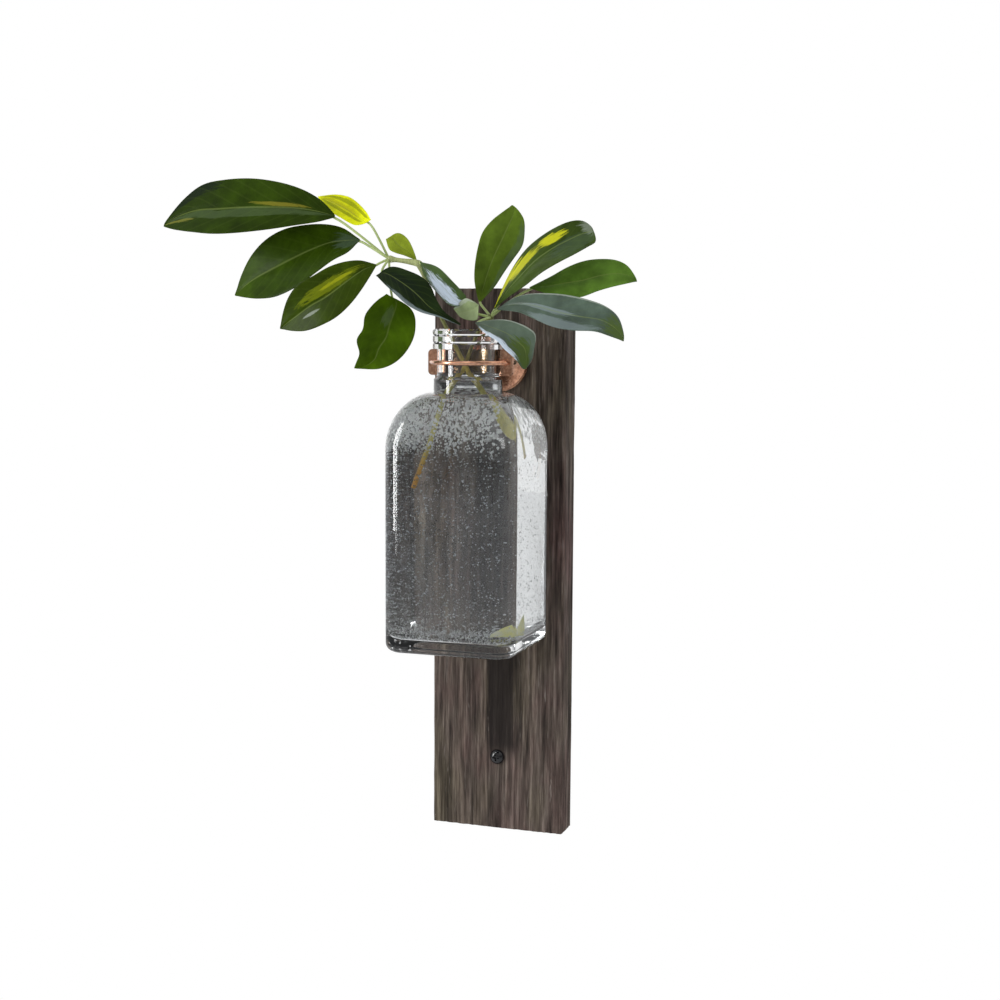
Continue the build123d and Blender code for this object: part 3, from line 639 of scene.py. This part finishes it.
# name, whorl, reach, base and tip as shares of the reach from the whorl,
# turn in degrees, fold, bow, cup in metres, span of the chord,
# lower rim and upper rim as shares of the length,
# green, gloss, sheen,
# patches (along, half length, across, half width, strength, colour)
leaf_rows = (
    (
        "left_leaflet_1", left_whorl, left_spread, (-0.205, -0.057, 0.165), (-0.968, -0.093, 0.130),
        25, 0.10, 0.055, 0.0164, (0.005, 0.996),
        (-0.003, -0.017, -0.048, -0.073, -0.100, -0.117, -0.113, -0.079, -0.040, -0.007, 0.007),
        (0.005, 0.037, 0.103, 0.161, 0.203, 0.232, 0.237, 0.225, 0.153, 0.066, 0.015),
        (0.018, 0.036, 0.0012), 0.34, 0.02,
        (
            (0.36, 0.13, 0.57, 0.05, 0.45, dull_yellow),
            (0.82, 0.13, 0.30, 0.06, 0.35, pale_yellow),
            (0.5, 0.45, 0.40, 0.10, 0.4, painted_grey_green_sheen),
            (0.76, 0.16, 0.90, 0.16, 0.8, painted_shadow_black),
        ),
    ),
    (
        "left_leaflet_2", left_whorl, left_spread, (-0.134, 0.029, 0.078), (-0.712, 0.050, -0.150),
        20, 0.08, 0.055, 0.0165, (0.005, 1.002),
        (-0.002, -0.018, -0.063, -0.080, -0.125, -0.170, -0.170, -0.118, -0.055, -0.007, 0.010),
        (0.003, 0.036, 0.125, 0.193, 0.242, 0.275, 0.265, 0.211, 0.125, 0.042, 0.015),
        (0.026, 0.052, 0.0015), 0.36, 0.02,
        (
            (0.12, 0.16, 0.45, 0.4, 0.5, painted_blue_green_sheen),
        ),
    ),
    (
        "left_leaflet_3", left_whorl, left_spread, (-0.041, -0.057, -0.022), (-0.424, -0.121, -0.285),
        15, 0.12, 0.055, 0.0133, (-0.012, 0.992),
        (-0.025, -0.040, -0.088, -0.152, -0.212, -0.242, -0.225, -0.177, -0.093, -0.020, 0.005),
        (-0.017, 0.014, 0.091, 0.148, 0.185, 0.198, 0.218, 0.177, 0.103, 0.035, 0.010),
        (0.024, 0.042, 0.0015), 0.32, 0.02,
        (
            (0.44, 0.24, 0.66, 0.14, 0.45, yellow_green),
            (0.40, 0.12, 0.66, 0.05, 0.3, yellow),
            (0.62, 0.07, 0.34, 0.035, 0.5, painted_pale_highlight),
        ),
    ),
    (
        "left_leaflet_4", left_whorl, left_spread, (-0.099, 0.050, 0.170), (-0.356, 0.107, 0.259),
        30, 0.10, 0.055, 0.0080, (-0.030, 1.008),
        (-0.055, -0.179, -0.270, -0.286, -0.277, -0.258, -0.208, -0.135, -0.067, -0.023, -0.007),
        (-0.045, -0.032, 0.014, 0.061, 0.106, 0.135, 0.122, 0.087, 0.040, 0.008, -0.002),
        (0.76, 0.80, 0.010), 0.36, 0.02,
        (
            (0.5, 0.5, 0.80, 0.10, 0.7, yellow_green),
            (0.5, 0.4, 0.32, 0.10, 0.7, yellow_green),
            (0.55, 0.3, 0.55, 0.12, 0.9, yellow),
        ),
    ),
    # Left leaflet 5: its green is made very dark, as painted shade, because this leaflet hangs in shadow.
    (
        "left_leaflet_5", left_whorl, left_spread, (0.011, -0.079, -0.039), (0.378, -0.171, -0.268),
        -20, 0.16, 0.055, 0.0101, (0.018, 0.975),
        (0.065, -0.024, -0.068, -0.093, -0.113, -0.104, -0.033, 0.010, 0.004, -0.003, 0.003),
        (0.113, 0.117, 0.134, 0.155, 0.177, 0.190, 0.160, 0.088, 0.046, 0.018, 0.010),
        (0.008, 0.016, 0.004), 0.30, 0.02,
        (
            (0.36, 0.18, 0.50, 0.28, 0.95, painted_shadow_black),
            (0.62, 0.36, 0.97, 0.12, 0.45, painted_blue_sheen),
        ),
    ),
    (
        "left_leaflet_6", left_whorl, left_spread, (-0.016, 0.007, -0.135), (-0.139, -0.014, -0.436),
        -15, 0.10, 0.055, 0.0156, (0.013, 1.008),
        (-0.010, -0.288, -0.415, -0.478, -0.515, -0.508, -0.465, -0.383, -0.253, -0.065, 0.015),
        (-0.005, 0.014, 0.068, 0.123, 0.155, 0.115, 0.140, 0.040, 0.030, 0.025, 0.023),
        (0.052, 0.104, 0.002), 0.34, 0.02,
        (
            (0.32, 0.12, 0.60, 0.10, 0.10, painted_pale_highlight),
        ),
    ),
    (
        "left_leaflet_7", left_lower_whorl, left_spread, (-0.026, 0.021, 0.021), (-0.152, 0.036, 0.110),
        20, 0.10, 0.055, 0.0062, (-0.085, 0.925),
        (-0.023, -0.035, -0.070, -0.121, -0.182, -0.272, -0.323, -0.261, -0.184, -0.135, -0.117),
        (-0.018, -0.005, 0.037, 0.101, 0.169, 0.235, 0.268, 0.268, 0.236, 0.126, -0.113),
        (0.20, 0.26, 0.018), 0.36, 0.02,
        (),
    ),
    (
        "left_leaflet_8", left_lower_whorl, left_spread, (0.030, -0.035, -0.018), (0.220, -0.057, -0.131),
        -25, 0.30, 0.055, 0.0067, (-0.128, 1.060),
        (-0.078, -0.082, -0.097, -0.120, -0.115, -0.080, -0.042, -0.008, 0.020, 0.035, 0.130),
        (-0.072, -0.048, 0.026, 0.130, 0.225, 0.304, 0.357, 0.388, 0.386, 0.317, 0.188),
        (0.045, 0.080, 0.020), 0.30, 0.10,
        (
            (0.66, 0.38, 0.62, 0.36, 1.0, painted_white_sheen),
        ),
    ),
    (
        "right_leaflet_1", right_whorl, right_spread, (-0.095, 0.062, 0.096), (0.090, 0.150, 0.769),
        10, 0.12, 0.055, 0.0122, (-0.008, 1.000),
        (-0.020, -0.035, -0.081, -0.140, -0.180, -0.202, -0.202, -0.145, -0.067, -0.010, 0.007),
        (-0.015, -0.002, 0.031, 0.082, 0.120, 0.169, 0.218, 0.200, 0.161, 0.079, 0.015),
        (0.080, 0.132, 0.012), 0.36, 0.02,
        (
            (0.5, 0.3, 0.92, 0.14, 0.4, painted_blue_green_sheen),
        ),
    ),
    (
        "right_leaflet_2", right_whorl, right_spread, (0.059, -0.025, 0.095), (0.715, -0.062, 0.604),
        -25, 0.10, 0.055, 0.0120, (-0.055, 1.008),
        (0.013, 0.001, -0.036, -0.092, -0.147, -0.185, -0.185, -0.162, -0.125, -0.065, 0.023),
        (0.018, 0.020, 0.029, 0.050, 0.080, 0.088, 0.113, 0.144, 0.158, 0.153, 0.028),
        (0.040, 0.068, 0.010), 0.32, 0.02,
        (
            (0.24, 0.22, 0.12, 0.15, 0.75, yellow),
            (0.44, 0.13, 0.26, 0.15, 0.75, yellow),
            (0.64, 0.10, 0.24, 0.14, 0.85, yellow),
            (0.94, 0.12, 0.35, 0.45, 0.35, painted_pale_highlight),
            (0.75, 0.2, 0.7, 0.3, 0.3, painted_blue_green_sheen),
        ),
    ),
    (
        "right_leaflet_3", right_whorl, right_spread, (0.254, 0.037, 0.205), (0.996, 0.125, 0.239),
        -30, 0.08, 0.055, 0.0116, (0.018, 0.998),
        (0.013, 0.000, -0.031, -0.082, -0.155, -0.205, -0.230, -0.227, -0.173, -0.072, -0.010),
        (0.018, 0.032, 0.073, 0.135, 0.185, 0.205, 0.132, 0.075, 0.035, 0.007, -0.002),
        (0.074, 0.146, 0.018), 0.34, 0.02,
        (),
    ),
    # Right leaflet 4: its green is painted sheen, blue-grey. Its leaf-green patch shows the leaf's own
    # green.
    (
        "right_leaflet_4", right_whorl, right_spread, (0.095, -0.087, 0.034), (0.981, -0.200, -0.154),
        -20, 0.16, 0.075, 0.0113, (-0.030, 1.010),
        (-0.022, -0.053, -0.124, -0.172, -0.197, -0.210, -0.217, -0.212, -0.165, -0.071, -0.010),
        (-0.015, -0.012, -0.007, 0.000, 0.037, 0.073, 0.062, 0.012, 0.007, 0.002, 0.002),
        (0.065, 0.095, 0.070), 0.30, 0.10,
        (
            (0.88, 0.17, 0.55, 0.60, 0.95, leaf_green),
            (0.52, 0.22, 0.86, 0.16, 0.35, painted_blue_sheen),
            (0.42, 0.18, 0.50, 0.10, 0.4, painted_blue_sheen),
            (0.50, 0.45, 0.01, 0.04, 0.6, painted_pale_highlight),
        ),
    ),
    # Right leaflet 5: its green is painted sheen, blue-grey. Its leaf-green patch shows the leaf's own
    # green.
    (
        "right_leaflet_5", right_whorl, right_spread, (-0.036, -0.225, -0.042), (0.348, -0.287, -0.332),
        -15, 0.30, 0.120, 0.0098, (0.008, 1.015),
        (-0.005, -0.030, -0.101, -0.190, -0.283, -0.349, -0.392, -0.395, -0.242, -0.126, 0.008),
        (0.002, 0.010, 0.031, 0.063, 0.072, 0.053, 0.075, 0.065, 0.066, 0.067, 0.020),
        (0.065, 0.090, 0.065), 0.30, 0.10,
        (
            (0.78, 0.26, 0.62, 0.40, 1.0, leaf_green),
            (0.48, 0.28, 0.95, 0.14, 0.95, painted_white_sheen),
            (0.45, 0.45, 0.01, 0.04, 0.6, painted_pale_highlight),
        ),
    ),
    (
        "right_leaflet_6", right_whorl, right_spread, (-0.200, -0.125, -0.009), (-0.020, -0.190, 0.110),
        -15, 0.25, 0.055, 0.0072, (0.065, 0.928),
        (-0.318, -0.314, -0.303, -0.297, -0.297, -0.300, -0.292, -0.238, -0.077, 0.073, 0.113),
        (-0.300, -0.193, 0.025, 0.163, 0.283, 0.395, 0.480, 0.485, 0.305, 0.161, 0.122),
        (0.20, 0.25, 0.12), 0.42, 0.03,
        (
            (0.5, 0.5, 0.05, 0.12, 0.6, painted_pale_highlight),
        ),
    ),
)

viewed_from = Vector((0.317, -0.942, 0.108)).normalized()
blade_cells_along, blade_cells_across = 32, 14
blade_thickness = 0.00045
cup_power = 1.4
wave_height = 0.0009
groove_depth = 0.0004
groove_width = 0.07
stalk_radius = 0.0006
stalk_sunk = -0.0006


def make_blade(name, on_blade):
    """A blade: a grid laid on the leaf's surface, with a groove along its rib and waved rims."""
    bpy.ops.object.select_all(action="DESELECT")
    bpy.ops.mesh.primitive_grid_add(
        x_subdivisions=blade_cells_along, y_subdivisions=blade_cells_across, size=2
    )
    blade = bpy.context.active_object
    blade.name = name
    seed = random.Random(name).uniform(0, 50)
    for vertex in blade.data.vertices:
        t, v = (vertex.co.x + 1) / 2, (vertex.co.y + 1) / 2
        from_rib = 2 * v - 1
        swell = noise.noise(Vector((t * 4, v * 2, seed)))
        wave = wave_height * swell * abs(from_rib) * math.sin(math.pi * t)
        groove = -groove_depth * math.exp(-((from_rib / groove_width) ** 2)) * min(1, 8 * t)
        vertex.co = on_blade(t, v, wave + groove)
    wall = blade.modifiers.new("thickness", "SOLIDIFY")
    wall.thickness = blade_thickness
    wall.offset = -1
    wall.material_offset = 1
    wall.material_offset_rim = 0
    soft = blade.modifiers.new("soft", "SUBSURF")
    soft.levels = soft.render_levels = 1
    for modifier in (wall.name, soft.name):
        bpy.ops.object.modifier_apply(modifier=modifier)
    bpy.ops.object.shade_smooth()
    return blade


def make_leaflet(row):
    """A leaflet: a cupped and bowed blade between its rims, joined to the stalk that runs under it."""
    name, whorl, reach, base_shares, tip_shares, turn, fold, bow, cup_width, span = row[:10]
    lower, upper, green, gloss, sheen, patches = row[10:]
    base = whorl + reach * Vector(base_shares)
    tip = whorl + reach * Vector(tip_shares)
    run = (tip - base).normalized()
    length = (tip - base).length
    facing = (viewed_from - viewed_from.dot(run) * run).normalized()
    side = run.cross(facing)
    swing = math.radians(turn)
    normal = math.cos(swing) * facing + math.sin(swing) * side
    across = math.cos(swing) * side - math.sin(swing) * facing

    def on_blade(t, v, lift=0.0):
        share = span[0] + (span[1] - span[0]) * (1 - math.cos(math.pi * t)) / 2
        low, high = at_share(lower, t), at_share(upper, t)
        off_rib = (v - 0.5) * (high - low) * length
        arch = bow * length * (1 - (2 * share - 1) ** 2)
        cup = fold * cup_width * (abs(off_rib) / cup_width) ** cup_power
        sideways = (low + high) / 2 * length + off_rib
        return base + share * length * run + sideways * across + (arch + cup + lift) * normal

    blade = make_blade(name, on_blade)
    stalk_way = on_blade(0.04, 0.5) - whorl
    route = [whorl + stalk_way.normalized() * stem_radius * 0.8]
    route.append(whorl + stalk_way * 0.6 + 0.06 * stalk_way.length * normal)
    route += [on_blade(t, 0.5, stalk_sunk) for t in (0.06, 0.2, 0.36, 0.52, 0.66, 0.8)]
    stalk_taper = [1.15 if number < 3 else 1.0 - 0.13 * (number - 2) for number in range(len(route))]
    stalk = make_tube(name + "_stalk", list(zip(route, stalk_taper)), stalk_radius, rounding=2, steps=12)
    blade.data.materials.append(leaf_surface(name + "_top", green, gloss, sheen, patches))
    blade.data.materials.append(underside)
    stalk.data.materials.append(stalk_green)
    blade.select_set(True)
    bpy.context.view_layer.objects.active = blade
    bpy.ops.object.join()
    return blade


for row in leaf_rows:
    leaflet = make_leaflet(row)
    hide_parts(row[0])
    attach(leaflet, "left_cutting" if row[0].startswith("left") else "right_cutting")
    leaflet.name = row[0] + "_blade"


# Fallen leaf. A scrap of leaf that has turned yellow, in paler and deeper patches. It lies on the
# bottle's floor, in the water.
yellowed, tree, shader = new_material("yellowed_leaf", (0.7, 0.72, 0.25), roughness=0.4)
decay = noise_node(tree, 130, detail=4, roughness=0.6)
decay_colors = [(0.36, (0.74, 0.70, 0.08)), (0.5, (0.94, 0.92, 0.34)), (0.64, (0.96, 0.97, 0.72))]
patterned(tree, shader, ramp(tree, decay, decay_colors))
bump(tree, shader, decay, distance=0.0004, strength=0.5)
finish_node("fallen_leaf", yellowed)


# Stage. A pale floor below the part, and a surround that the camera sees as even white, also straight
# through the glass. Reflections see a room that is dim below and bright above.
def seen_directly(tree, path):
    """1 for a ray from the camera, or one that passed glass without a reflection, and 0 for others."""
    straight = math_node(tree, "LESS_THAN", path.outputs["Glossy Depth"], 0.5)
    straight = math_node(tree, "MULTIPLY", straight, path.outputs["Is Transmission Ray"])
    return math_node(tree, "MAXIMUM", path.outputs["Is Camera Ray"], straight)


def unless_scattered(tree, path, seen):
    """The same value, but 0 for a ray that a dull surface scattered on its way."""
    unscattered = math_node(tree, "LESS_THAN", path.outputs["Diffuse Depth"], 0.5)
    return math_node(tree, "MULTIPLY", seen, unscattered)


white = (1, 1, 1)
floor_size = 12
floor_z = -0.6
bpy.ops.object.select_all(action="DESELECT")
bpy.ops.mesh.primitive_plane_add(size=floor_size, location=(0, 0, floor_z))
floor = bpy.context.active_object
floor.name = "floor"
pale, tree, shader = new_material("pale_floor", (0.85, 0.85, 0.85), roughness=0.9)
path = add_node(tree, "LightPath")
bright = add_node(tree, "Emission", {"Color": (*white, 1), "Strength": 1.0})
seen = unless_scattered(tree, path, seen_directly(tree, path))
blend = add_node(tree, "MixShader", {0: seen, 1: shader.outputs[0], 2: bright.outputs[0]})
tree.links.new(blend.outputs[0], tree.nodes["Material Output"].inputs["Surface"])
floor.data.materials.append(pale)

world = bpy.data.worlds.new("studio")
bpy.context.scene.world = world
world.use_nodes = True
tree = world.node_tree
path = add_node(tree, "LightPath")
seen = seen_directly(tree, path)
upward = math_node(tree, "ADD", math_node(tree, "MULTIPLY", along(tree, "Z", "Generated"), 0.5), 0.5)
room = ramp(tree, upward, [(0.30, 0.06), (0.46, 0.20), (0.56, 0.30), (0.85, 0.95)])
from_behind = ramp(tree, along(tree, "Y", "Generated"), [(0.0, 0.0), (0.5, 1.0)])
room = mix(tree, "MIX", from_behind, room, white)
shown = mix(tree, "MIX", seen, room, white)
lit = add_node(tree, "Background", {"Color": (0.95, 0.97, 1.0, 1), "Strength": 0.55})
shown = add_node(tree, "Background", {"Color": shown, "Strength": 1.0})
seen = math_node(tree, "MAXIMUM", seen, path.outputs["Is Glossy Ray"])
seen = math_node(tree, "MAXIMUM", seen, path.outputs["Is Transmission Ray"])
seen = unless_scattered(tree, path, seen)
blend = add_node(tree, "MixShader", {0: seen, 1: lit.outputs[0], 2: shown.outputs[0]})
tree.links.new(blend.outputs[0], tree.nodes["World Output"].inputs["Surface"])


# Lamps. A tall soft lamp stands at the left, where the glass and the copper mirror it, and a square
# one at the right, which nothing mirrors.
lit_place = Vector((0, -0.05, 0.05))
for name, place, width, height, power, mirrored in (
    ("key_lamp", (-1.25, -1.05, 0.45), 0.35, 1.3, 22, True),
    ("side_lamp", (1.4, -0.9, 0.7), 0.8, 0.8, 9, False),
):
    lamp = bpy.data.lights.new(name, "AREA")
    lamp.shape = "RECTANGLE"
    lamp.size, lamp.size_y = width, height
    lamp.energy = power
    stand = bpy.data.objects.new(name, lamp)
    stand.location = place
    stand.rotation_euler = (lit_place - Vector(place)).to_track_quat("-Z", "Y").to_euler()
    stand.visible_glossy = mirrored
    bpy.context.scene.collection.objects.link(stand)


# Camera. It stands to the right of the part and a little above it, about a metre away, and is tilted
# by a third of a degree.
turn, rise, roll = math.radians(18.646), math.radians(6.169), math.radians(0.352)
aim = Vector((-0.00584, 0, 0.03451))
distance = 0.9741
sensor_width = 36
focal_share = 1.6078
back = Vector((math.sin(turn) * math.cos(rise), -math.cos(turn) * math.cos(rise), math.sin(rise)))
right = Vector((math.cos(turn), math.sin(turn), 0))
up = back.cross(right)
level_right = math.cos(roll) * right + math.sin(roll) * up
level_up = -math.sin(roll) * right + math.cos(roll) * up
lens = bpy.data.cameras.new("camera")
lens.sensor_width = sensor_width
lens.lens = sensor_width * focal_share
camera = bpy.data.objects.new("camera", lens)
bpy.context.scene.collection.objects.link(camera)
looking = Matrix((level_right, level_up, back)).transposed().to_4x4()
camera.matrix_world = Matrix.Translation(aim + distance * back) @ looking
bpy.context.scene.camera = camera
bpy.context.scene.view_settings.view_transform = "Standard"

bpy.context.view_layer.update()
